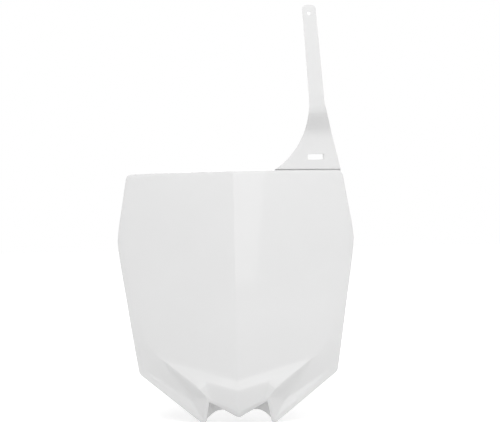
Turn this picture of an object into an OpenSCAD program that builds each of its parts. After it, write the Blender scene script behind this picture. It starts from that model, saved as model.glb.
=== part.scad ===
// Front racing number board for an off-road motorcycle, moulded in one piece.
// Seen from the front: X to the right, Z up, the face looks along -Y.
// The origin is the centre of the lower fixing hole.

/* [Outline] */
// Height of the middle of the top edge above the fixing hole
top_z = 240; // [220:0.2:260]
// Half width at the top corners
top_half_w = 115.8; // [105:0.2:122]
// Drop of the top edge from the middle to the corners
top_drop = 1.4; // [1:0.1:8]
// Radius of the top corners
top_corner_r = 6; // [5:0.1:8]
// Half width at the widest level
wide_half_w = 128; // [124:0.2:135]
// Height of the widest level
wide_z = 166.4; // [140:0.2:180]
// Half length of the curve that joins the upper and lower sides
wide_blend = 12; // [5:0.5:20]
// Half width at the lower corners
low_half_w = 106.8; // [100:0.2:112]
// Height of the lower corners
low_z = 23.2; // [18:0.2:28]
// Radius of the lower corners
low_corner_r = 7; // [5:0.1:9]
// Distance of each prong's point from the middle
prong_half_w = 35.8; // [34:0.2:42]
// Height of the prong points before they are rounded
prong_z = -32.4; // [-38:0.1:-30]
// Radius of the prong points
prong_r = 3.5; // [3:0.1:5]
// Distance of each notch's corner from the middle
notch_half_w = 30.5; // [28:0.1:34]
// Height of the notch corners
notch_z = -6.3; // [-10:0.1:-5]
// Height of the beak's point before it is rounded
beak_z = -23.6; // [-27:0.1:-20]
// Radius of the beak's point
beak_r = 6.3; // [4:0.1:8]

/* [Wall] */
// Wall thickness
wall = 2.5; // [2:0.1:2.8]
// Depth of the rim behind the outline of the face
rim_depth = 11; // [9:0.5:16]

/* [Face] */
// Angle by which each half of the face falls back from the keel
keel_angle = 7.5; // [4:0.5:12]
// Half width of the rounding along the keel
keel_round = 1.2; // [0.5:0.1:4]
// Radius of the face across
face_r = 1500; // [1000:50:4000]
// Radius of the face from top to bottom
bow_r = 1900; // [1000:50:5000]
// Height where the face stands furthest forward
bow_z = 125; // [80:5:160]

/* [Wings] */
// Height where the side crease leaves the outline
crease_top_z = 150; // [140:1:156]
// Distance from the middle at which the side crease bends
crease_knee_x = 95; // [92:0.5:97]
// Height at which the side crease bends
crease_knee_z = 55.5; // [51:0.5:58]
// Angle by which the upper wing falls back from the face
wing_angle = 9; // [5:0.5:14]
// Angle by which the lower wing falls back from the face
prong_angle = 12; // [8:0.5:16]

/* [Lip] */
// Height at which the lip starts at the keel
lip_z = 17.2; // [15:0.1:19]
// Distance from the middle of the lip's outer corner
lip_corner_x = 81; // [79:0.1:84]
// Height of the lip's outer corner
lip_corner_z = 40; // [38:0.1:42]
// Angle by which the lip comes forward
lip_angle = 22; // [18:0.5:28]
// Height of the chin at the keel
chin_z = 6.9; // [5:0.1:8.5]
// Angle by which the beak falls back below the chin
beak_angle = 7; // [4:0.5:9]
// Distance from the middle of the groove beside each fang, at the chin
groove_x = 33.4; // [31:0.1:35]
// Distance from the middle of the foot of the step, low on the prong
step_foot_x = 41.5; // [39:0.1:43]
// Height of the foot of the step, low on the prong
step_foot_z = -17; // [-20:0.1:-14]
// Hollow of the step, as a share of its depth
step_hollow = 0.3; // [0:0.05:0.5]
// Distance from the middle of the fang's crest
crest_x = 40.6; // [38.5:0.1:43]
// Height of the fang's crest
crest_z = 8.6; // [7:0.1:10]
// Distance by which the fang stands in front of the beak, beside the notch
fang_lead = 3; // [1:0.1:4]

/* [Lower bracket] */
// Distance of the bracket's front face behind the keel
bracket_back = 27; // [23:0.5:29]
// Thickness of the bracket
bracket_t = 3; // [2.5:0.1:4]
// Half width of the bracket's flat middle
bracket_half_w = 17; // [14:0.5:20]
// Height of the bracket's top edge
bracket_top = 12; // [10:0.5:16]
// Height of the bracket's lower edge in the middle
bracket_low = -17.3; // [-19:0.1:-12]
// Radius of the arch at each end of the lower edge
arch_r = 13.9; // [12:0.1:16]
// Diameter of the fixing hole
fixing_d = 6.5; // [5:0.1:8]
// Diameter of the boss round the fixing hole
boss_d = 16; // [13:0.5:20]
// Height of the boss on the bracket's rear face
boss_h = 1.5; // [1:0.1:3]

/* [Strap] */
// Thickness of the strap
strap_t = 2.4; // [1.8:0.1:3]
// Distance from the middle of the strap's inner edge, where it leaves the board
strap_root_x = 43.2; // [38:0.2:52]
// Distance from the middle of the strap's inner edge, above its flare
strap_neck_x = 82; // [78:0.1:84]
// Height above the top edge at which the flare ends
strap_neck_rise = 71; // [62:0.5:76]
// Width of the strap above its flare
strap_neck_w = 16.5; // [14:0.1:22]
// Height above the top edge at which the outer edge bends
strap_bend_rise = 69.5; // [58:0.5:72]
// Distance from the middle of the strap's outer edge, level with the board's top edge
strap_side_x = 114.6; // [110:0.1:115]
// Width of the strap at its end hole
strap_end_w = 14.6; // [12:0.1:20]
// Distance from the middle of the end hole
strap_hole_x = 83.7; // [78:0.1:86]
// Height of the end hole above the top edge
strap_hole_rise = 164.5; // [140:0.5:190]
// Distance from the end hole to the end of the strap
strap_end_reach = 9.2; // [6:0.1:12]
// Corner radius of the strap's end
strap_end_r = 5; // [3:0.1:6]
// Diameter of the end hole
strap_hole_d = 4; // [3:0.1:5]
// Distance by which the strap steps forward above its flare
strap_step = 18; // [10:0.5:22]
// Height above the top edge at which the forward step starts
strap_step_foot = 22.5; // [19:0.5:32]
// Height above the top edge at which the forward step ends
strap_step_head = 79; // [66:0.5:85]
// Distance from the middle of the tie slot
slot_x = 87.3; // [84:0.1:92]
// Height of the tie slot above the top edge
slot_rise = 13.4; // [10:0.1:16]
// Width of the tie slot
slot_w = 16; // [12:0.1:18]
// Height of the tie slot
slot_h = 5.6; // [4.8:0.1:7]
// Length of the ramp at the slot's outer end
slot_ramp = 2.4; // [1:0.1:4]

/* [Hidden] */

eps = 0.01;
roll_steps = 3;
inner_steps = 2;

// Blends of two surfaces: the rearmost, or the foremost, rounded over k
function rear_of(a, b, k) = let (h = max(k - abs(a - b), 0) / k) max(a, b) + h * h * k / 4;
function front_of(a, b, k) = let (h = max(k - abs(a - b), 0) / k) min(a, b) - h * h * k / 4;

// Plane vectors
function unit(v) = v / norm(v);
function left_of(d) = [-d[1], d[0]];
function mix(a, b, t) = a + (b - a) * t;
function cross2(a, b) = a[0] * b[1] - a[1] * b[0];

// Slopes of the face and of the facets that fall back from it
keel_slope = tan(keel_angle);
wing_slope = tan(wing_angle);
prong_slope = tan(prong_angle);
lip_slope = tan(lip_angle);
beak_slope = tan(beak_angle);

// Heights of the strap's features
strap_neck_z = top_z + strap_neck_rise;
strap_bend_z = top_z + strap_bend_rise;
strap_hole_z = top_z + strap_hole_rise;
strap_step_low = top_z + strap_step_foot;
strap_step_high = top_z + strap_step_head;
slot_z = top_z + slot_rise;

// Corners of the outline, on the right half
top_corner = [top_half_w, top_z - top_drop];
wide_point = [wide_half_w, wide_z];
low_corner = [low_half_w, low_z];
prong_point = [prong_half_w, prong_z];
notch_corner = [notch_half_w, notch_z];
beak_point = [0, beak_z];

// Outward normals of the sides of the outline
top_normal = unit([2 * top_drop / top_half_w, 1]);
upper_normal = unit(left_of(wide_point - top_corner));
lower_normal = unit(left_of(low_corner - wide_point));
diagonal_normal = unit(left_of(prong_point - low_corner));
inner_normal = unit(left_of(notch_corner - prong_point));
beak_normal = unit(left_of(beak_point - notch_corner));
beak_mirror_normal = [-beak_normal[0], beak_normal[1]];

// A corner moved in by r from both of its sides
function inset(p, n1, n2, r) = p - r * (n1 + n2) / (1 + n1 * n2);

top_in = inset(top_corner, top_normal, upper_normal, top_corner_r);
wide_in = inset(wide_point, upper_normal, lower_normal, top_corner_r);
low_in = inset(low_corner, lower_normal, diagonal_normal, low_corner_r);
prong_in = inset(prong_point, diagonal_normal, inner_normal, prong_r);
notch_in = inset(notch_corner, inner_normal, beak_normal, prong_r);
beak_in = inset(beak_point, beak_normal, beak_mirror_normal, beak_r);

// Where a straight line through p and q is at height z
function line_x(p, q, z) = p[0] + (q[0] - p[0]) * (z - p[1]) / (q[1] - p[1]);

// Side of the inset outline at height z, down to the row of the notch
wide_k = wide_blend * (abs(upper_normal[1]) + abs(lower_normal[1]));
function side_x(z) =
    z >= low_in[1]
    ? front_of(line_x(top_in, wide_in, z), line_x(wide_in, low_in, z), wide_k)
    : line_x(low_in, prong_in, z);
function side_normal(z) =
    z >= low_in[1]
    ? unit([1, -(side_x(z + 0.5) - side_x(max(z - 0.5, low_in[1]))) / (z + 0.5 - max(z - 0.5, low_in[1]))])
    : diagonal_normal;
function side_r(z) =
    z >= wide_in[1] ? top_corner_r
    : z >= low_in[1] ? mix(top_corner_r, low_corner_r, (wide_in[1] - z) / (wide_in[1] - low_in[1]))
    : mix(low_corner_r, prong_r, (low_in[1] - z) / (low_in[1] - prong_in[1]));

// Top of the inset outline: a shallow crown
function top_in_z(x) = let (mid = top_z - top_corner_r) mid - (mid - top_in[1]) * pow(x / top_in[0], 2);
function top_dir(x) = unit([2 * (top_z - top_corner_r - top_in[1]) * x / pow(top_in[0], 2), 1]);

// Side crease, bent at its knee, and the crest of the step below it
crease_top = [line_x(wide_point, low_corner, crease_top_z), crease_top_z];
crease_knee = [crease_knee_x, crease_knee_z];
lip_corner = [lip_corner_x, lip_corner_z];
step_foot = [step_foot_x, step_foot_z];
crest = [crest_x, crest_z];
upper_out = unit(left_of(crease_knee - crease_top));
lower_out = unit(left_of(lip_corner - crease_knee));
lip_down = unit([lip_corner_z - lip_z, -lip_corner_x]);

// Depth behind the keel of each facet, before the common curvature
function flat_x(x) = sqrt(x * x + keel_round * keel_round) - keel_round;
function face(x, z) = keel_slope * flat_x(x);
function wing(x, z) = face(x, z) + wing_slope * ([flat_x(x), z] - crease_knee) * upper_out;
function prong(x, z) = face(x, z) + prong_slope * ([flat_x(x), z] - crease_knee) * lower_out;
function lip(x, z) = face(x, z) - lip_slope * ([flat_x(x), z] - [0, lip_z]) * lip_down;

// Plane through three points, as its slopes across and up
function plane_slopes(p, q, s, dp, dq, ds) =
    let (u = q - p, v = s - p, a = dq - dp, b = ds - dp, det = cross2(u, v))
    [(a * v[1] - b * u[1]) / det, (b * u[0] - a * v[0]) / det];

// Beak below the chin, and the fang beside it, between the groove and the crest
chin_depth = lip(0, chin_z);
beak_side_slope = keel_slope + beak_slope * (lip_corner_z - lip_z) / lip_corner_x;
function beak(x, z) = chin_depth + beak_side_slope * flat_x(x) + beak_slope * (chin_z - z);
groove_z = (beak(groove_x, 0) - lip(groove_x, 0)) / (lip(0, 1) - lip(0, 0) + beak_slope);
groove_top = [groove_x, groove_z];
groove_depth = beak(groove_x, groove_z);
fang_slopes = plane_slopes(
    groove_top, crest, notch_in,
    groove_depth, lip(crest_x, crest_z), beak(notch_in[0], notch_in[1]) - fang_lead
);
function fang(x, z) = groove_depth + fang_slopes * ([flat_x(x), z] - groove_top);

// Lines that the step runs between: the crest (a) and the foot (b)
function crest_line(z) =
    z >= crest_z ? line_x(lip_corner, crest, z)
    : z >= notch_in[1] ? line_x(crest, notch_in, z)
    : line_x(notch_in, prong_in, z);
function foot_reach(z) = line_x(lip_corner, step_foot, z);
function prong_edge(z) = line_x(low_in, prong_in, z);
function foot_x(z) =
    z >= notch_in[1] ? foot_reach(z)
    : let (a = crest_line(z), e = prong_edge(z)) min(max(foot_reach(z), mix(a, e, 0.25)), mix(a, e, 0.8));

// Roundings where the facets meet
crease_k = 0.5;
wing_k = 0.6;
chin_k = 1.3;
groove_k = 1.2;
crest_k = 2.2;
valley_k = 1.6;

// Depth of the front surface behind the keel, first without the common curvature.
// The step is ruled from the crest to its foot, level by level.
function base(x, z) = rear_of(rear_of(face(x, z), wing(x, z), crease_k), prong(x, z), wing_k);
function inner(x, z) = rear_of(lip(x, z), front_of(beak(x, z), fang(x, z), groove_k), chin_k);
notch_depth = inner(notch_in[0], notch_in[1]);
tip_depth = base(prong_in[0], prong_in[1]);
tip_z = prong_in[1] + 0.4;
function crest_depth(z) =
    z >= notch_in[1] ? inner(crest_line(z), z)
    : mix(notch_depth, tip_depth, (notch_in[1] - z) / (notch_in[1] - prong_in[1]));
function step(x, z) =
    let (
        level = max(min(z, lip_corner_z - 1), tip_z),
        a = crest_line(level),
        b = foot_x(level),
        u = (flat_x(x) - crest_line(max(z, tip_z))) / (b - a),
        v = min(max(u, 0), 1)
    )
    crest_depth(max(z, tip_z)) + (base(b, level) - crest_depth(level)) * (u + step_hollow * v * (1 - v));
function bottom(x, z) = rear_of(inner(x, z), step(x, z), crest_k);
function depth(x, z) =
    front_of(base(x, z), bottom(x, z), valley_k)
    + x * x / (2 * face_r) + pow(z - bow_z, 2) / (2 * bow_r);
function slope_factor(x, z) =
    let (
        h = 0.5,
        across = (depth(x + h, z) - depth(x - h, z)) / (2 * h),
        up = (depth(x, z + h) - depth(x, z - h)) / (2 * h)
    )
    sqrt(1 + across * across + up * up);

// The fixing hole's middle is the origin
y_shift = -(bracket_back + bracket_t / 2 + boss_h / 2);
function front_point(p) = [p[0], depth(p[0], p[1]) + y_shift, p[1]];
function back_point(p) = [p[0], depth(p[0], p[1]) + wall * slope_factor(p[0], p[1]) + y_shift, p[1]];

// Columns of the mesh on the right half follow the groove (g), the crease and
// the crest (a) and the foot of the step (b)
crease_gap = 7;
function a_x(z) =
    z >= crease_knee_z ? min(line_x(crease_top, crease_knee, z), side_x(z) - crease_gap)
    : z >= lip_corner_z ? line_x(crease_knee, lip_corner, z)
    : crest_line(z);
function b_x(z) = max(z >= lip_corner_z ? 0 : foot_x(z), a_x(z) + 1.8);
function g_x(z) = z > groove_z ? groove_x + (z - groove_z) : line_x(groove_top, notch_in, z);
function outer_columns(a, b, e) =
    let (t = min(4, (b - a) / 3), u = min(t, (e - b) / 3))
    [a, a + t, mix(a + t, b - t, 0.5), b - t, b, b + u, mix(b + u, e, 0.5), e];
function columns(zg, za) =
    let (
        a = a_x(za),
        b = b_x(za),
        t = min(2, (b - a) / 3),
        k = 2 * keel_round,
        g = min(g_x(zg), a * 0.6 + 8, a - t - 0.8)
    )
    concat(
        [0, k, mix(k, g, 0.33), mix(k, g, 0.67), g, mix(g, a - t, 0.5), a - t],
        outer_columns(a, b, side_x(za))
    );
col_g = 4;
col_a = 7;
col_e = 14;

// Rows: height at the keel, at the groove and at the crease and beyond it
function spread(from, to, n) = [for (i = [1:n]) mix(from, to, i / n)];
function straight(r) = [r[0], mix(r[0], r[1], 0.6), r[1]];
row_t = 2.4;
face_rows = spread([top_z - top_corner_r, top_in[1]], [wide_z, wide_z], 5);
above_knee = [crease_knee_z + 4, crease_knee_z + 8];
knee_row = [crease_knee_z - 14, crease_knee_z];
side_rows = spread([wide_z, wide_z], above_knee, 7);
knee_rows = concat([knee_row], spread(knee_row, [lip_z + 3 * row_t, lip_corner_z + 3 * row_t], 2));
lip_rows = [
    [lip_z + row_t, lip_corner_z + row_t],
    [lip_z, lip_corner_z],
    [lip_z - row_t * 0.7, lip_corner_z - row_t],
];
low_row = [chin_z + 2.6, groove_z + 6.5, low_in[1]];
chin_row = [chin_z, groove_z, crest_z];
notch_row = [chin_z - 5.8, notch_in[1] + 0.1, notch_in[1]];
chin_rows = concat(
    spread(low_row, chin_row, 5),
    [mix(chin_row, notch_row, 0.12), mix(chin_row, notch_row, 0.32), mix(chin_row, notch_row, 0.62)]
);
upper_rows = concat(face_rows, side_rows, knee_rows, lip_rows);
rows = concat([for (r = upper_rows) straight(r)], [low_row], chin_rows, [notch_row]);
n_rows = len(rows) + 1;
low_i = len(upper_rows) + 1;

top_columns = columns(top_in[1], top_in[1]);
function top_row(c) = let (x = top_in[0] * top_columns[c] / top_columns[col_e]) [x, top_in_z(x)];
function row_z(r, x, g, a) =
    x < g ? mix(r[0], r[1], x / g)
    : x < a ? mix(r[1], r[2], (x - g) / (a - g))
    : r[2];
function row_point(i, c) =
    i == 0 ? top_row(c)
    : let (r = rows[i - 1], xs = columns(r[1], r[2])) [xs[c], row_z(r, xs[c], xs[col_g], xs[col_a])];

// Beak and prongs below the notch row, each closing in a single point
beak_rows = 5;
prong_rows = 6;
function beak_row_point(i, c) = mix(row_point(n_rows - 1, c), beak_in, i / beak_rows);
mitre_reach = 1.2 * prong_r * tan(acos(inner_normal * beak_normal) / 2) / norm(prong_in - notch_in);
function prong_share(i) = i == 0 ? 0 : mix(mitre_reach, 1, (i - 1) / (prong_rows - 1));
function prong_row_point(i, c) =
    let (z = mix(notch_in[1], prong_in[1], prong_share(i)))
    i == prong_rows ? prong_in : [outer_columns(crest_line(z), foot_x(z), prong_edge(z))[c - col_a], z];

// Every mesh point of the right half has a key [part, row, column]
MAIN = 0;
BEAK = 1;
PRONG = 2;
function plan_point(k) =
    k[0] == MAIN ? row_point(k[1], k[2])
    : k[0] == BEAK ? beak_row_point(k[1], k[2])
    : prong_row_point(k[1], k[2]);

main_n = n_rows * (2 * col_e + 1);
beak_n = (beak_rows - 1) * (2 * col_a + 1);
prong_cols = col_e - col_a + 1;
prong_n = (prong_rows - 1) * prong_cols;
sheet_n = main_n + beak_n + 1 + 2 * (prong_n + 1);

// Number of a mesh point; s is 1 on the right half and -1 on the left
function main_id(i, c, s) = i * (2 * col_e + 1) + col_e + s * c;
function beak_id(i, c, s) =
    i == 0 ? main_id(n_rows - 1, c, s)
    : i == beak_rows ? main_n + beak_n
    : main_n + (i - 1) * (2 * col_a + 1) + col_a + s * c;
function prong_base(s) = main_n + beak_n + 1 + (s > 0 ? 0 : prong_n + 1);
function prong_id(i, c, s) =
    i == 0 ? main_id(n_rows - 1, c, s)
    : i == prong_rows ? prong_base(s) + prong_n
    : prong_base(s) + (i - 1) * prong_cols + c - col_a;
function id(k, s) =
    k[0] == MAIN ? main_id(k[1], k[2], s) : k[0] == BEAK ? beak_id(k[1], k[2], s) : prong_id(k[1], k[2], s);

function flip(p, s) = [s * p[0], p[1]];
sheet_plan = concat(
    [for (i = [0:n_rows - 1]) for (c = [-col_e:col_e]) flip(row_point(i, abs(c)), sign(c))],
    [for (i = [1:beak_rows - 1]) for (c = [-col_a:col_a]) flip(beak_row_point(i, abs(c)), sign(c))],
    [beak_in],
    [for (i = [1:prong_rows - 1]) for (c = [col_a:col_e]) prong_row_point(i, c)],
    [prong_in],
    [for (i = [1:prong_rows - 1]) for (c = [col_a:col_e]) flip(prong_row_point(i, c), -1)],
    [flip(prong_in, -1)]
);

// Two triangles of a mesh cell, or one where the cell closes in a point
function cell(a, b, c, d) = c == d ? [[a, b, c]] : [[a, b, c], [a, c, d]];
function handed(f, s) = s > 0 ? f : [for (t = f) [t[0], t[2], t[1]]];
function cell_at(k, s) =
    let (
        right = [k[0], k[1], k[2] + 1],
        below = [k[0], k[1] + 1, k[2]],
        across = [k[0], k[1] + 1, k[2] + 1]
    )
    handed(cell(id(k, s), id(right, s), id(across, s), id(below, s)), s);
front_faces = [
    for (s = [1, -1]) each concat(
        [for (i = [0:n_rows - 2]) for (c = [0:col_e - 1]) each cell_at([MAIN, i, c], s)],
        [for (i = [0:beak_rows - 1]) for (c = [0:col_a - 1]) each cell_at([BEAK, i, c], s)],
        [for (i = [0:prong_rows - 1]) for (c = [col_a:col_e - 1]) each cell_at([PRONG, i, c], s)]
    )
];

// Stations round the edge of the right half: [key, direction out, radius of the roll]
function fan(n1, n2, n) =
    let (w0 = atan2(n1[1], n1[0]), w1 = atan2(n2[1], n2[0]), turn = w1 - w0 > 0 ? w1 - w0 - 360 : w1 - w0)
    [for (i = [0:n]) [cos(w0 + turn * i / n), sin(w0 + turn * i / n)]];
notch_dir = (inner_normal + beak_normal) / (1 + inner_normal * beak_normal);
stations = concat(
    [for (c = [0:col_e - 1]) [[MAIN, 0, c], top_dir(row_point(0, c)[0]), top_corner_r]],
    [for (n = fan(top_dir(top_in[0]), side_normal(top_in[1]), 5)) [[MAIN, 0, col_e], n, top_corner_r]],
    [for (i = [1:low_i - 1]) let (z = rows[i - 1][2]) [[MAIN, i, col_e], side_normal(z), side_r(z)]],
    [for (n = fan(lower_normal, diagonal_normal, 4)) [[MAIN, low_i, col_e], n, low_corner_r]],
    [for (i = [low_i + 1:n_rows - 1]) [[MAIN, i, col_e], diagonal_normal, side_r(rows[i - 1][2])]],
    [for (i = [1:prong_rows - 1])
        [[PRONG, i, col_e], diagonal_normal, side_r(prong_row_point(i, col_e)[1])]],
    [for (n = fan(diagonal_normal, inner_normal, 6)) [[PRONG, prong_rows, col_e], n, prong_r]],
    [for (i = [prong_rows - 1:-1:1]) [[PRONG, i, col_a], inner_normal, prong_r]],
    [[[MAIN, n_rows - 1, col_a], notch_dir, prong_r]],
    [for (i = [1:beak_rows - 1]) [[BEAK, i, col_a], beak_normal, mix(prong_r, beak_r, i / beak_rows)]],
    [for (n = fan(beak_normal, [0, -1], 3)) [[BEAK, beak_rows, col_a], n, beak_r]]
);
n_half = len(stations);
n_ring = 2 * n_half - 2;

// Stations of the whole rim, clockwise from the middle of the top edge
function ring_side(j) = j < n_half ? 1 : -1;
function ring_station(j) = stations[j < n_half ? j : n_ring - j];
function roll_point(j, w) =
    let (
        st = ring_station(j),
        p = plan_point(st[0]) + st[1] * st[2] * sin(w)
    )
    [ring_side(j) * p[0], depth(p[0], p[1]) + st[2] * (1 - cos(w)) + y_shift, p[1]];
function inner_roll_point(j, w) =
    let (
        st = ring_station(j),
        r = st[2] - wall,
        p = plan_point(st[0]) + st[1] * r * sin(w)
    )
    [ring_side(j) * p[0], depth(p[0], p[1]) + st[2] - r * cos(w) + y_shift, p[1]];
function rim_end_point(j, reach) =
    let (
        st = ring_station(j),
        o = plan_point(st[0]) + st[1] * st[2],
        p = o - st[1] * reach
    )
    [ring_side(j) * p[0], depth(o[0], o[1]) + rim_depth + y_shift, p[1]];

// Rings from the face, round the roll, back along the rim and inside again
rings = concat(
    [for (k = [1:roll_steps]) [for (j = [0:n_ring - 1]) roll_point(j, 90 * k / roll_steps)]],
    [[for (j = [0:n_ring - 1]) rim_end_point(j, 0)]],
    [[for (j = [0:n_ring - 1]) rim_end_point(j, wall)]],
    [for (k = [inner_steps:-1:1]) [for (j = [0:n_ring - 1]) inner_roll_point(j, 90 * k / inner_steps)]]
);
n_rings = len(rings);
ring_start = 2 * sheet_n;
function edge_id(j) = id(ring_station(j)[0], ring_side(j));
function ring_id(k, j) =
    let (m = j % n_ring)
    k < 0 ? edge_id(m) : k == n_rings ? sheet_n + edge_id(m) : ring_start + k * n_ring + m;
function band(k) = [
    for (j = [0:n_ring - 1])
        let (a = ring_id(k, j), b = ring_id(k, j + 1), c = ring_id(k + 1, j + 1), d = ring_id(k + 1, j))
        each concat(a == b ? [] : [[a, c, b]], c == d ? [] : [[a, d, c]])
];

shell_points = concat(
    [for (p = sheet_plan) front_point(p)],
    [for (p = sheet_plan) back_point(p)],
    [for (r = rings) each r]
);
shell_faces = concat(
    front_faces,
    [for (t = front_faces) [t[0] + sheet_n, t[2] + sheet_n, t[1] + sheet_n]],
    [for (k = [-1:n_rings - 1]) each band(k)]
);

module shell() {
    polyhedron(points = shell_points, faces = shell_faces, convexity = 8);
}

// Rear edge of the rim at a distance x from the middle of the top edge
function top_out_z(x) = top_z - top_drop * pow(x / top_half_w, 2);
function top_rear(x) = depth(x, top_out_z(x)) + rim_depth + y_shift;

// The strap's own plane follows the rear edge of the right half
strap_x1 = strap_root_x + 8;
strap_x2 = top_in[0];
strap_turn = atan2(top_rear(strap_x2) - top_rear(strap_x1), strap_x2 - strap_x1);
strap_behind = 0.8;

// Front outline of the strap: the flare is an arc that runs into the straight inner edge
flare_dx = strap_neck_x - strap_root_x;
flare_dz = strap_neck_z - top_out_z(strap_root_x);
flare_r = (flare_dx * flare_dx + flare_dz * flare_dz) / (2 * flare_dx);
flare_steps = 14;
flare_angle = asin(flare_dz / flare_r);
corner_reach = top_corner_r - wall / 2;
end_left = strap_hole_x - strap_end_w / 2;
end_right = strap_hole_x + strap_end_w / 2;
end_z = strap_hole_z + strap_end_reach - strap_end_r;
strap_outline = concat(
    [[strap_root_x - 1.5, top_out_z(strap_root_x) - wall / 2]],
    [for (i = [0:flare_steps])
        let (w = flare_angle * (1 - i / flare_steps))
        [strap_neck_x - flare_r * (1 - cos(w)), strap_neck_z - flare_r * sin(w)]],
    [for (w = [180:-22.5:90]) [end_left + strap_end_r * (1 + cos(w)), end_z + strap_end_r * sin(w)]],
    [for (w = [90:-22.5:0]) [end_right - strap_end_r * (1 - cos(w)), end_z + strap_end_r * sin(w)]],
    [[strap_neck_x + strap_neck_w, strap_bend_z]],
    [[strap_side_x, top_z]],
    [for (w = [30:20:90]) top_in + corner_reach * [cos(w), sin(w)]],
    [for (x = [top_in[0] - 10:-10:strap_root_x]) [x, top_out_z(x) - wall / 2]]
);

// Side profile of the strap: it steps forward above its flare in a smooth S
strap_foot_z = top_z - 20;
strap_head_z = strap_hole_z + strap_end_reach + 5;
function strap_run(z) =
    let (t = min(max((z - strap_step_low) / (strap_step_high - strap_step_low), 0), 1))
    -strap_step * t * t * (3 - 2 * t);
function strap_rise(z) = strap_run(z + 0.5) - strap_run(z - 0.5);
step_levels = spread(strap_step_low - 1, strap_step_high + 1, 14);
strap_levels = concat([strap_foot_z, strap_step_low - 1], step_levels, [strap_head_z]);
strap_profile = concat(
    [for (z = strap_levels) [strap_run(z), z]],
    [for (i = [len(strap_levels) - 1:-1:0])
        let (z = strap_levels[i])
        [strap_run(z) + strap_t * sqrt(1 + pow(strap_rise(z), 2)), z]]
);

// Front face of the strap below its step, at a distance x from the middle
strap_root_y = top_rear(strap_x1) - strap_behind - strap_t / cos(strap_turn);
function strap_front(x) = strap_root_y + (x - strap_x1) * tan(strap_turn);

module strap_slot() {
    // The slot, with a ramp on its outer end that leads the tie back to the front
    edge_x = slot_x + slot_w / 2;
    translate([slot_x - slot_w / 2, strap_front(slot_x) - 6, slot_z - slot_h / 2])
        cube([slot_w, 16, slot_h]);
    translate([edge_x - eps, strap_front(edge_x), slot_z - slot_h / 2])
        linear_extrude(slot_h)
            polygon([[0, -1], [slot_ramp * 1.5, -1], [slot_ramp, 0], [0, strap_t + 0.4]]);
}

module strap() {
    difference() {
        intersection() {
            translate([strap_x1, strap_root_y, 0])
                rotate([0, 0, strap_turn])
                    translate([-30, 0, 0])
                        rotate([90, 0, 90])
                            linear_extrude(120)
                                polygon(strap_profile);
            rotate([90, 0, 0])
                translate([0, 0, -60])
                    linear_extrude(120)
                        polygon(strap_outline);
        }
        strap_slot();
        translate([strap_hole_x, 0, strap_hole_z])
            rotate([90, 0, 0])
                cylinder(d = strap_hole_d, h = 100, center = true, $fn = 48);
    }
}

// Lower edge of the bracket: level in the middle, then an arch down to each prong
function arch_z(x) = let (u = max(x - bracket_half_w, 0)) bracket_low - u * u / (2 * arch_r);
ramp_steps = 7;
ramp_rows = 3;
foot_dir = unit(diagonal_normal + 2 * inner_normal);
ramp_foot = prong_in + foot_dir * (prong_r - wall / 2);
ramp_head = notch_corner - inner_normal * wall / 2 + [0, 1];
ramp_sink = 6;

// A point of the ramp: t runs from the prong to the flat middle, v from the lower edge up
function ramp_plan(t, v) =
    let (
        x = mix(mix(ramp_foot[0], ramp_head[0], v), bracket_half_w, t),
        low = mix(ramp_foot[1] - arch_z(ramp_foot[0]), 0, t) + arch_z(mix(ramp_foot[0], bracket_half_w, t)),
        high = mix(ramp_head[1], bracket_top, t)
    )
    [x, mix(low, high, v)];
function ramp_depth(t, v) =
    let (o = mix(ramp_foot, ramp_head, v), start = depth(o[0], o[1]) + ramp_sink, w = 1 - pow(1 - t, 1.6))
    mix(start, bracket_back, w);
function bracket_point(c, v, back) =
    let (s = sign(c), t = 1 - (abs(c) - 1) / ramp_steps, p = ramp_plan(t, v))
    [s * p[0], ramp_depth(t, v) + back + y_shift, p[1]];
bracket_cols = concat([for (c = [-ramp_steps - 1:-1]) c], [for (c = [1:ramp_steps + 1]) c]);
bracket_n = len(bracket_cols);
bracket_points = [
    for (back = [0, bracket_t]) for (c = bracket_cols) for (v = [0:ramp_rows])
        bracket_point(c, v / ramp_rows, back)
];
function bracket_id(i, v, back) = (back * bracket_n + i) * (ramp_rows + 1) + v;
function quad(p, q, r, s) =
    let (k = [for (n = [p, q, r, s]) bracket_id(n[0], n[1], n[2])])
    cell(k[0], k[1], k[2], k[3]);
bracket_end = bracket_n - 1;
bracket_faces = concat(
    [for (i = [0:bracket_end - 1]) for (v = [0:ramp_rows - 1])
        each quad([i, v, 0], [i, v + 1, 0], [i + 1, v + 1, 0], [i + 1, v, 0])],
    [for (i = [0:bracket_end - 1]) for (v = [0:ramp_rows - 1])
        each quad([i, v, 1], [i + 1, v, 1], [i + 1, v + 1, 1], [i, v + 1, 1])],
    [for (i = [0:bracket_end - 1])
        each quad([i, 0, 0], [i + 1, 0, 0], [i + 1, 0, 1], [i, 0, 1])],
    [for (i = [0:bracket_end - 1], v = [ramp_rows])
        each quad([i, v, 0], [i, v, 1], [i + 1, v, 1], [i + 1, v, 0])],
    [for (v = [0:ramp_rows - 1])
        each quad([0, v, 0], [0, v, 1], [0, v + 1, 1], [0, v + 1, 0])],
    [for (v = [0:ramp_rows - 1], e = [bracket_end])
        each quad([e, v, 0], [e, v + 1, 0], [e, v + 1, 1], [e, v, 1])]
);

module bracket() {
    polyhedron(points = bracket_points, faces = bracket_faces, convexity = 4);
    rotate([90, 0, 0])
        translate([0, 0, -(bracket_t + boss_h) / 2])
            cylinder(d = boss_d, h = boss_h + bracket_t / 2, $fn = 64);
}

module number_board() {
    color("whitesmoke")
        difference() {
            union() {
                shell();
                strap();
                bracket();
            }
            rotate([90, 0, 0])
                cylinder(d = fixing_d, h = 2 * (bracket_t + boss_h), center = true, $fn = 64);
        }
}

number_board();
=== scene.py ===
import math

import bmesh
import bpy
from mathutils import Matrix, Vector, geometry


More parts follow.
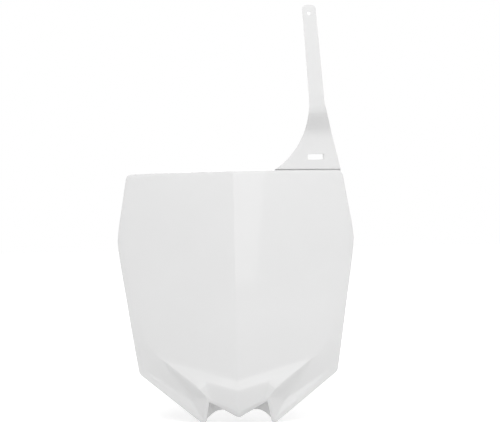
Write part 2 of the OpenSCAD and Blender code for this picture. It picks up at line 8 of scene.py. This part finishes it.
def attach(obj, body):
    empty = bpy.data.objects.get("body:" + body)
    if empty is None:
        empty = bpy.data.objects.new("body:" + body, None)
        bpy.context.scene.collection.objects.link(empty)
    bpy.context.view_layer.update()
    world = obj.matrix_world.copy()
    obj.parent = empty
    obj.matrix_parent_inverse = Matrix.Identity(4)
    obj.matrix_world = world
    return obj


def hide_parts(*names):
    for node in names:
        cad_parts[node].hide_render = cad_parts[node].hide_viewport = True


# A racing number board, moulded in one piece: 254 mm wide, 443 mm tall with its strap.
# X to the right seen from the front, Y to the rear, Z up, origin in the fixing hole.

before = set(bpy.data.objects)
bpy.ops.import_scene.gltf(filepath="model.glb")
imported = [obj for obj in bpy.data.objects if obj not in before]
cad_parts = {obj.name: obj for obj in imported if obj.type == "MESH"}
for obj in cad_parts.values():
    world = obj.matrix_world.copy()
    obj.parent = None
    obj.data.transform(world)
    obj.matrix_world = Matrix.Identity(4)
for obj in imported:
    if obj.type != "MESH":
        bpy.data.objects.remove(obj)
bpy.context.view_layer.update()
mm = 0.001
scene = bpy.context.scene


# Camera: a long lens in front of the board, a little to its right and above

view = {
    "frameSize": (500, 422),
    "distance": 1.400,  # from the keel to the lens
    "mmPerPixel": 1.058,  # at the keel
    "keelFoot": (0.0, -29.24, 0.0),  # foremost point of the keel level with the origin, mm
    "keelFootPixel": (237.86, 397.63),
    "side": 1.9,  # degrees to the right of straight ahead
    "above": 1.0,  # degrees above straight ahead
    "roll": 1.25,  # degrees by which the board leans to the left
    "sensor": 36.0,  # mm
    "clip": (0.05, 50.0),  # m
}


def makeCamera():
    side, above, roll = (math.radians(view[k]) for k in ("side", "above", "roll"))
    level = Vector((-math.sin(side), math.cos(side), 0.0))
    forward = level * math.cos(above) - Vector((0.0, 0.0, math.sin(above)))
    right = Vector((math.cos(side), math.sin(side), 0.0))
    up = right.cross(forward)
    rightRolled = right * math.cos(roll) - up * math.sin(roll)
    upRolled = right * math.sin(roll) + up * math.cos(roll)
    width, height = view["frameSize"]
    across = (view["keelFootPixel"][0] - width / 2) * view["mmPerPixel"] * mm
    rise = (height / 2 - view["keelFootPixel"][1]) * view["mmPerPixel"] * mm
    foot = Vector(view["keelFoot"]) * mm

    data = bpy.data.cameras.new("camera")
    data.sensor_width = view["sensor"]
    data.lens = view["sensor"] * view["distance"] / (width * view["mmPerPixel"] * mm)
    data.clip_start, data.clip_end = view["clip"]
    camera = bpy.data.objects.new("camera", data)
    scene.collection.objects.link(camera)
    camera.location = foot - rightRolled * across - upRolled * rise - forward * view["distance"]
    turn = Matrix((rightRolled, upRolled, -forward)).transposed()
    camera.rotation_mode = "QUATERNION"
    camera.rotation_quaternion = turn.to_quaternion()
    scene.camera = camera


makeCamera()
print("stage: camera")


# Helpers for materials

def linear(hexColour):
    # sRGB hex to linear red, green, blue and alpha
    channels = [int(hexColour[i:i + 2], 16) / 255 for i in (0, 2, 4)]
    return [c / 12.92 if c <= 0.04045 else ((c + 0.055) / 1.055) ** 2.4 for c in channels] + [1.0]


def addNode(tree, kind, settings=None, inputs=None):
    # inputs: socket name or number to a value, or to an output that is linked to it
    node = tree.nodes.new(kind)
    for name, value in (settings or {}).items():
        setattr(node, name, value)
    for name, value in (inputs or {}).items():
        if isinstance(value, bpy.types.NodeSocket):
            tree.links.new(value, node.inputs[name])
        else:
            node.inputs[name].default_value = value
    return node


def newMaterial(name):
    material = bpy.data.materials.new(name)
    material.use_nodes = True
    material.node_tree.nodes.clear()
    return material, material.node_tree


# Polypropylene, injection moulded against polished steel: a clean white with a sharp
# but faint gloss, a slow waviness where the wall shrank, and a hair of tone from flow.
plastic = {
    "colour": "E8E8E8",
    "flowColour": "E5E5E5",
    "flowSize": 60.0,  # mm across one patch of flow tone
    "ior": 1.49,
    "roughness": 0.035,
    "shineSpread": 0.08,  # share by which the roughness wanders with the flow
    "waveSize": 22.0,  # mm from swell to swell of the shrinkage
    "waveHeight": 0.012,  # mm
    "grainSize": 0.9,  # mm, drawn coarser than the real 0.1 mm so that it shows
    "grainHeight": 0.0012,  # mm
    "rearRoughness": 0.42,
    "rearGrainSize": 1.2,  # mm, the spark-eroded core side, drawn coarse
    "rearGrainHeight": 0.012,  # mm
}


def polypropylene(name, roughness, grainSize, grainHeight):
    material, tree = newMaterial(name)
    place = addNode(tree, "ShaderNodeTexCoord").outputs["Object"]
    flow = addNode(tree, "ShaderNodeTexNoise", {"noise_dimensions": "3D"}, {
        "Vector": place, "Scale": 1 / (plastic["flowSize"] * mm), "Detail": 2.0, "Roughness": 0.5})
    tone = addNode(tree, "ShaderNodeMix", {"data_type": "RGBA"}, {
        "Factor": flow.outputs["Fac"],
        6: linear(plastic["colour"]), 7: linear(plastic["flowColour"])})  # sockets A and B
    shine = addNode(tree, "ShaderNodeMapRange", None, {
        "Value": flow.outputs["Fac"], "From Min": 0.3, "From Max": 0.7,
        "To Min": roughness * (1 - plastic["shineSpread"]),
        "To Max": roughness * (1 + plastic["shineSpread"])})
    wave = addNode(tree, "ShaderNodeTexNoise", None, {
        "Vector": place, "Scale": 1 / (plastic["waveSize"] * mm), "Detail": 1.0})
    grain = addNode(tree, "ShaderNodeTexNoise", None, {
        "Vector": place, "Scale": 1 / (grainSize * mm), "Detail": 2.0})
    swell = addNode(tree, "ShaderNodeBump", None, {
        "Strength": 1.0, "Distance": plastic["waveHeight"] * mm, "Height": wave.outputs["Fac"]})
    fine = addNode(tree, "ShaderNodeBump", None, {
        "Strength": 1.0, "Distance": grainHeight * mm, "Height": grain.outputs["Fac"],
        "Normal": swell.outputs["Normal"]})
    shader = addNode(tree, "ShaderNodeBsdfPrincipled", None, {
        "Base Color": tone.outputs[2], "Roughness": shine.outputs["Result"],
        "IOR": plastic["ior"], "Normal": fine.outputs["Normal"]})
    addNode(tree, "ShaderNodeOutputMaterial", None, {"Surface": shader.outputs["BSDF"]})
    return material


# The board: the solid's own shape, merged and drawn finer, with its edges softened as the
# mould leaves them. Points of the front plan are x and z in mm, for the right half.
board = {
    "weld": 0.002,  # mm, corners that lie nearer than this become one
    "sliver": 0.01,  # mm, the narrowest face that is kept
    "flatAngle": 0.05,  # degrees, triangles that lie flatter than this become one face
    "sharpAngle": 42.0,  # degrees, edges sharper than this get a small round
    "edgeRound": 0.25,  # mm
    "edgeSteps": 2,
    "rearNormal": 0.05,  # faces that look further back than this are textured
    "shadingWeight": 60,  # how much more a large face counts in the shading than a small one
    "roll": {
        "round": 1.6,  # mm, the moulding's own arc round its edge
        # mm, the solid's arcs: along the top, down the sides, and at the prongs' tips
        "topRound": 6.0,
        "sideRound": 7.0,
        "prongRound": 3.5,
        "sideFrom": 210.0,  # mm, height below which the sides' arc holds
        "lowCorner": 23.0,  # mm, height from which the arc narrows down to the prongs
        "prongTip": -29.0,
        "topEdge": (240.0, 1.4, 115.8),  # mm, the edge's height, its drop and half width
        "topMargin": 0.02,  # mm above the top edge at which the strap starts
        "slope": 0.2,  # how far the face goes back per mm towards the sides
        "topSlope": 0.05,  # the same towards the top edge
        "rings": (30.0, 60.0),  # degrees round the arc
        "ringMargin": 0.12,  # share of the arc by which a ring's point may be off
        "outlineMargin": 0.03,  # mm from the outline to the points that lie on it
        "reach": (0.2, 4.9),  # mm from the outline to the nearest and furthest ring point
        "rearNormal": 0.2,  # a point that looks further back than this isn't on the arc
        "leastLean": 0.1,  # nor is one that leans outward by less than this
    },
    "gap": {
        "ends": ((43.0, 239.81), (113.0, 238.67)),  # along the top edge
        "height": 1.2,  # mm
        "depth": 1.9,
        "wall": 0.6,  # mm left standing at each end
        "strapPlane": (50.0, -10.79, 0.1845),  # x, y there and y per x of the strap's front
        "planeMargin": 0.05,  # mm from that plane
        "around": (10.0, 1.0, 40.0),  # mm searched to the left of, below and above the edge
    },
    "valley": {
        # lip corner, side corner, prong, notch, crest
        "corners": ((80.6, 40.2), (100.3, 27.0), (38.1, -26.2), (33.0, -0.9), (40.4, 8.4)),
        "deepest": (50.0, -4.7),
        "depth": 3.9,  # mm
        "round": 0.5,  # mm of depth over which two slopes run into each other
        "beside": 1.5,  # mm from a fold to the cuts beside it
    },
    "keel": {
        "slope": 0.131652,  # how far a half of the face goes back per mm from the keel
        "round": 1.2,  # mm, of the solid's keel
        "sharpRound": 0.25,  # mm, of the moulding's
        "cuts": (-0.9, 0.9),  # mm, cuts beside the keel, where its round ends
        "reach": 6.0,  # mm from the keel to the furthest face that is cut
    },
    "wings": {
        "knee": (95.0, 55.5),  # where the creases of wing and prong meet
        # across each crease: direction outward, rise per mm
        "slopes": (((0.951449, -0.307807), 0.158384), ((0.742103, -0.670286), 0.212557)),
        "flattened": 0.35,  # share of the rise that is taken away
    },
    "strapStep": {
        "foot": 262.5,  # mm, height at which the step starts
        "head": 319.0,
        "shift": 3.3,  # mm by which the lower part goes back and the upper part comes forward
    },
}


# Roll: the solid turns back round its edge in a wide arc, the moulding in a tight one.
# The arc's two inner rings move out beside the outline, and the face runs on up to them.
def solidRound(height):
    roll = board["roll"]
    if height >= roll["sideFrom"]:
        return roll["topRound"]
    share = (height - roll["prongTip"]) / (roll["lowCorner"] - roll["prongTip"])
    return roll["prongRound"] + (roll["sideRound"] - roll["prongRound"]) * min(share, 1.0)


def tightenRoll(work):
    roll = board["roll"]
    topZ, drop, halfWidth = roll["topEdge"]
    work.normal_update()

    def underTop(v):
        share = min(abs(v.co.x) / mm / halfWidth, 1)
        return v.co.z / mm < topZ - drop * share ** 2 + roll["topMargin"]

    low = [v for v in work.verts if underTop(v)]
    plan = [Vector((v.co.x, v.co.z)) / mm for v in low]
    hull = [plan[i] for i in geometry.convex_hull_2d(plan)]
    sides = [(a, (b - a).normalized()) for a, b in zip(hull, hull[1:] + hull[:1])
             if (b - a).length > board["sliver"]]

    def fromHull(p):
        return min(abs(run.x * (p.y - a.y) - run.y * (p.x - a.x)) for a, run in sides)

    outline = [p for p in plan if fromHull(p) < roll["outlineMargin"]]
    nearest, furthest = roll["reach"]
    moved = 0
    for v, p in zip(low, plan):
        if not nearest < fromHull(p) < furthest:
            continue
        edge = min(outline, key=lambda q: (q - p).length_squared)
        gapToEdge = (edge - p).length
        out = (edge - p) / gapToEdge
        lean = v.normal.x * out.x + v.normal.z * out.y
        if v.normal.y > roll["rearNormal"] or lean < roll["leastLean"]:
            continue
        share = gapToEdge / solidRound(p.y)
        turn = next((math.radians(w) for w in roll["rings"]
                     if abs(share - (1 - math.sin(math.radians(w)))) < roll["ringMargin"]), None)
        if turn is None:
            continue
        radius = gapToEdge / (1 - math.sin(turn))
        away = roll["round"] * (1 - math.sin(turn))
        slope = roll["slope"] * abs(out.x) + roll["topSlope"] * max(out.y, 0)
        back = (roll["round"] - radius) * (1 - math.cos(turn)) + slope * (gapToEdge - away)
        v.co.x, v.co.z = (edge.x - out.x * away) * mm, (edge.y - out.y * away) * mm
        v.co.y += back * mm
        moved += 1
    print("stage: roll,", moved, "points")


def blendLower(a, b, reach):
    # the lower of two, with a round of that reach where they cross
    near = max(reach - abs(a - b), 0.0) / reach
    return min(a, b) - near * near * reach / 4


def valleyDepth(x, z):
    valley = board["valley"]
    deepest = Vector(valley["deepest"])
    corners = [Vector(corner) for corner in valley["corners"]]
    depth = None
    for start, end in zip(corners, corners[1:] + corners[:1]):
        normal = Vector((start.y - end.y, end.x - start.x)).normalized()
        share = normal.dot(Vector((x, z)) - start) / normal.dot(deepest - start)
        slope = share * valley["depth"]
        depth = slope if depth is None else blendLower(depth, slope, valley["round"])
    return max(depth, 0.0)


def cutFaces(work, faces, point, normal):
    parts = set(faces)
    for f in faces:
        parts.update(f.edges)
        parts.update(f.verts)
    bmesh.ops.bisect_plane(
        work, geom=list(parts), dist=board["sliver"] * mm, plane_co=point, plane_no=normal)


# Valley: each prong is dished between the step's foot and its own outer edge, so that the
# step stands steeper. Front and back skin move together and the wall keeps its thickness.
def pressValleys(work):
    valley = board["valley"]
    (left, right), (foot, head) = (
        (min(values) * mm, max(values) * mm) for values in zip(*valley["corners"]))
    for side in (1, -1):
        deepest = Vector((side * valley["deepest"][0], 0.0, valley["deepest"][1]))
        for corner in valley["corners"]:
            fold = (Vector(corner) - Vector(valley["deepest"])).normalized()
            across = Vector((side * fold.y, 0.0, -fold.x))
            for shift in (-valley["beside"], 0.0, valley["beside"]):
                middles = [(f, f.calc_center_median()) for f in work.faces]
                near = [f for f, middle in middles
                        if left < side * middle.x < right and foot < middle.z < head]
                cutFaces(work, near, (deepest + across * shift) * mm, across)
    for v in work.verts:
        v.co.y += valleyDepth(abs(v.co.x) / mm, v.co.z / mm) * mm


# Keel: drawn sharper than the solid's. Wings: laid a little flatter beyond their crease.
def settleFace(work):
    keel, wings = board["keel"], board["wings"]
    for x in keel["cuts"]:
        near = [f for f in work.faces if abs(f.calc_center_median().x) < keel["reach"] * mm]
        cutFaces(work, near, (x * mm, 0, 0), (1, 0, 0))
    for v in work.verts:
        x, z = abs(v.co.x) / mm, v.co.z / mm
        fold = math.hypot(x, keel["sharpRound"]) - keel["sharpRound"]
        softFold = math.hypot(x, keel["round"]) - keel["round"]
        rise = max([0.0] + [
            slope * (out[0] * (x - wings["knee"][0]) + out[1] * (z - wings["knee"][1]))
            for out, slope in wings["slopes"]])
        v.co.y += (keel["slope"] * (fold - softFold) - wings["flattened"] * rise) * mm


# Strap: the same forward step, but drawn together so that its middle is steeper
def drawStrapStep(work):
    step = board["strapStep"]
    for v in work.verts:
        along = (v.co.z / mm - step["foot"]) / (step["head"] - step["foot"])
        if 0.0 < along < 1.0:
            ease = math.sin(math.pi * along) ** 2
            v.co.y += step["shift"] * math.sin(2 * math.pi * along) * ease * mm


# Gap: the strap comes up from behind the top edge and leaves a narrow dark slit there
def cutGap(work):
    gap = board["gap"]
    (x0, z0), (x1, z1) = gap["ends"]
    planeX, planeY, perX = gap["strapPlane"]
    beside, below, above = gap["around"]

    def isOnStrap(v):
        x, y, z = v.co / mm
        offPlane = abs(y - planeY - perX * (x - planeX))
        return offPlane < gap["planeMargin"] and z1 - below < z < z0 + above and x > x0 - beside

    along = Vector((x1 - x0, 0, z1 - z0)).normalized()
    up = Vector((-along.z, 0, along.x))
    start = Vector((x0, 0, z0))

    def lowFaces():
        return [f for f in work.faces if all(isOnStrap(v) for v in f.verts)
                and up.dot(f.calc_center_median() / mm - start) < gap["height"]]

    onStrap = [f for f in work.faces if all(isOnStrap(v) for v in f.verts)]
    cutFaces(work, onStrap, (start + up * gap["height"]) * mm, up)
    across = [v.co.x for f in lowFaces() for v in f.verts]
    left, right = min(across) + gap["wall"] * mm, max(across) - gap["wall"] * mm
    for x in (left, right):
        cutFaces(work, lowFaces(), (x, 0, 0), (1, 0, 0))
    slit = [f for f in lowFaces() if left < f.calc_center_median().x < right]
    made = bmesh.ops.extrude_face_region(work, geom=slit)["geom"]
    inward = Vector((-perX, 1.0, 0.0)).normalized() * gap["depth"] * mm
    floorPoints = [v for v in made if isinstance(v, bmesh.types.BMVert)]
    bmesh.ops.translate(work, verts=floorPoints, vec=inward)
    bmesh.ops.delete(work, geom=[f for f in slit if f.is_valid], context="FACES")
    print("stage: gap,", len(slit), "faces")


def dropDoubled(work):
    # two faces on the same corners enclose nothing
    seen = {}
    for f in work.faces:
        seen.setdefault(frozenset(v.index for v in f.verts), []).append(f)
    doubled = [f for faces in seen.values() if len(faces) > 1 for f in faces]
    bmesh.ops.delete(work, geom=doubled, context="FACES")
    print("stage: doubled faces dropped,", len(doubled))


def makeBoard():
    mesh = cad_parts["number_board"].data.copy()
    mesh.name = "numberBoard"
    mesh.materials.clear()
    work = bmesh.new()
    work.from_mesh(mesh)
    bmesh.ops.remove_doubles(work, verts=work.verts, dist=board["weld"] * mm)
    bmesh.ops.dissolve_degenerate(work, edges=work.edges, dist=board["weld"] * mm)
    tightenRoll(work)
    cutGap(work)
    pressValleys(work)
    settleFace(work)
    drawStrapStep(work)
    flatAngle, sharpAngle = (math.radians(board[k]) for k in ("flatAngle", "sharpAngle"))
    bmesh.ops.dissolve_limit(work, angle_limit=flatAngle, verts=work.verts, edges=work.edges)
    sharp = [e for e in work.edges
             if len(e.link_faces) == 2 and e.calc_face_angle() > sharpAngle]
    bmesh.ops.bevel(
        work, geom=sharp, offset=board["edgeRound"] * mm, offset_type="OFFSET", affect="EDGES",
        segments=board["edgeSteps"], profile=0.5, material=-1, clamp_overlap=False)
    bmesh.ops.dissolve_degenerate(work, edges=work.edges, dist=board["sliver"] * mm)
    bmesh.ops.triangulate(work, faces=work.faces)
    work.verts.index_update()
    dropDoubled(work)
    for face in work.faces:
        face.smooth = True
        face.material_index = 1 if face.normal.y > board["rearNormal"] else 0
    work.to_mesh(mesh)
    work.free()
    piece = bpy.data.objects.new("numberBoard", mesh)
    scene.collection.objects.link(piece)
    mesh.materials.append(polypropylene(
        "mouldedPolypropylene", plastic["roughness"], plastic["grainSize"], plastic["grainHeight"]))
    mesh.materials.append(polypropylene(
        "texturedPolypropylene", plastic["rearRoughness"], plastic["rearGrainSize"],
        plastic["rearGrainHeight"]))
    even = piece.modifiers.new("evenShading", "WEIGHTED_NORMAL")
    even.keep_sharp = True
    even.weight = board["shadingWeight"]
    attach(piece, "root")
    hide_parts("number_board")
    return piece


numberBoard = makeBoard()
print("stage: board,", len(numberBoard.data.polygons), "faces")


# Studio: a pale floor, a white surround and six soft panels

studio = {
    "floorHeight": -30.6,  # mm, just under the prongs
    "floorSize": 8.0,  # m
    "floorColour": "E9E9E9",
    "floorRoughness": 0.9,
    "floorGlow": (0.4, 0.65),  # what carries the floor to white for the camera, near and far
    "glowReach": (0.5, 2.2),  # m from the board
    "ambient": 0.48,  # the white surround's light on the board, where 1 is white to the eye
}

panels = {
    # m: centre, size across and up, what it faces; then its radiance
    "frontPanel": ((0.07, -1.0, 0.55), (0.54, 1.12), (0.07, 0.0, 0.15), 0.8),
    "keyPanel": ((-0.389, -1.069, 1.413), (0.9, 0.7), (0.0, 0.0, 0.15), 4.4),
    "sidePanel": ((1.041, -0.601, 1.352), (0.9, 0.7), (0.0, 0.0, 0.15), 2.4),
    "topPanel": ((0.0, -0.44, 1.792), (0.9, 0.7), (0.0, 0.0, 0.15), 0.5),
    "rightPanel": ((1.383, -0.799, 0.731), (0.9, 0.7), (0.0, 0.0, 0.15), 0.45),
    "backPanel": ((0.3, 1.7, 0.9), (1.2, 1.0), (0.0, 0.0, 0.15), 1.6),
}


def directlySeen(tree):
    # 1 for what the camera sees, straight, in a reflection or through a body, and 0 for light
    ray = addNode(tree, "ShaderNodeLightPath").outputs
    seen = addNode(tree, "ShaderNodeMath", {"operation": "MAXIMUM"}, {
        0: ray["Is Camera Ray"], 1: ray["Is Glossy Ray"]})
    return addNode(tree, "ShaderNodeMath", {"operation": "MAXIMUM"}, {
        0: seen.outputs["Value"], 1: ray["Is Transmission Ray"]}).outputs["Value"]


def makeFloor():
    work = bmesh.new()
    bmesh.ops.create_grid(work, x_segments=1, y_segments=1, size=studio["floorSize"] / 2)
    bmesh.ops.translate(work, verts=work.verts, vec=(0, 0, studio["floorHeight"] * mm))
    mesh = bpy.data.meshes.new("floor")
    work.to_mesh(mesh)
    work.free()
    floor = bpy.data.objects.new("floor", mesh)
    scene.collection.objects.link(floor)
    material, tree = newMaterial("paintedFloor")
    place = addNode(tree, "ShaderNodeTexCoord").outputs["Object"]
    distance = addNode(tree, "ShaderNodeVectorMath", {"operation": "LENGTH"}, {0: place})
    fill = addNode(tree, "ShaderNodeMapRange", {"interpolation_type": "SMOOTHSTEP"}, {
        "Value": distance.outputs["Value"],
        "From Min": studio["glowReach"][0], "From Max": studio["glowReach"][1],
        "To Min": studio["floorGlow"][0], "To Max": studio["floorGlow"][1]})
    glow = addNode(tree, "ShaderNodeMath", {"operation": "MULTIPLY"}, {
        0: directlySeen(tree), 1: fill.outputs["Result"]})
    shader = addNode(tree, "ShaderNodeBsdfPrincipled", None, {
        "Base Color": linear(studio["floorColour"]), "Roughness": studio["floorRoughness"],
        "Emission Color": linear("FFFFFF"), "Emission Strength": glow.outputs["Value"]})
    addNode(tree, "ShaderNodeOutputMaterial", None, {"Surface": shader.outputs["BSDF"]})
    mesh.materials.append(material)


def makePanel(name, centre, size, target, radiance):
    data = bpy.data.lights.new(name, "AREA")
    data.shape = "RECTANGLE"
    data.size, data.size_y = size
    data.energy = radiance * math.pi * size[0] * size[1]
    panel = bpy.data.objects.new(name, data)
    scene.collection.objects.link(panel)
    panel.location = centre
    away = Vector(centre) - Vector(target)
    panel.rotation_mode = "QUATERNION"
    panel.rotation_quaternion = away.to_track_quat("Z", "Y")
    panel.visible_camera = False


def makeSurround():
    world = bpy.data.worlds.new("surround")
    world.use_nodes = True
    tree = world.node_tree
    tree.nodes.clear()
    strength = addNode(tree, "ShaderNodeMix", {"data_type": "FLOAT"}, {
        0: directlySeen(tree), 2: studio["ambient"], 3: 1.0})
    shader = addNode(tree, "ShaderNodeBackground", None, {
        "Color": linear("FFFFFF"), "Strength": strength.outputs[0]})
    addNode(tree, "ShaderNodeOutputWorld", None, {"Surface": shader.outputs["Background"]})
    scene.world = world


makeFloor()
for panelName, facts in panels.items():
    makePanel(panelName, *facts)
makeSurround()
scene.view_settings.view_transform = "Standard"
print("stage: studio")
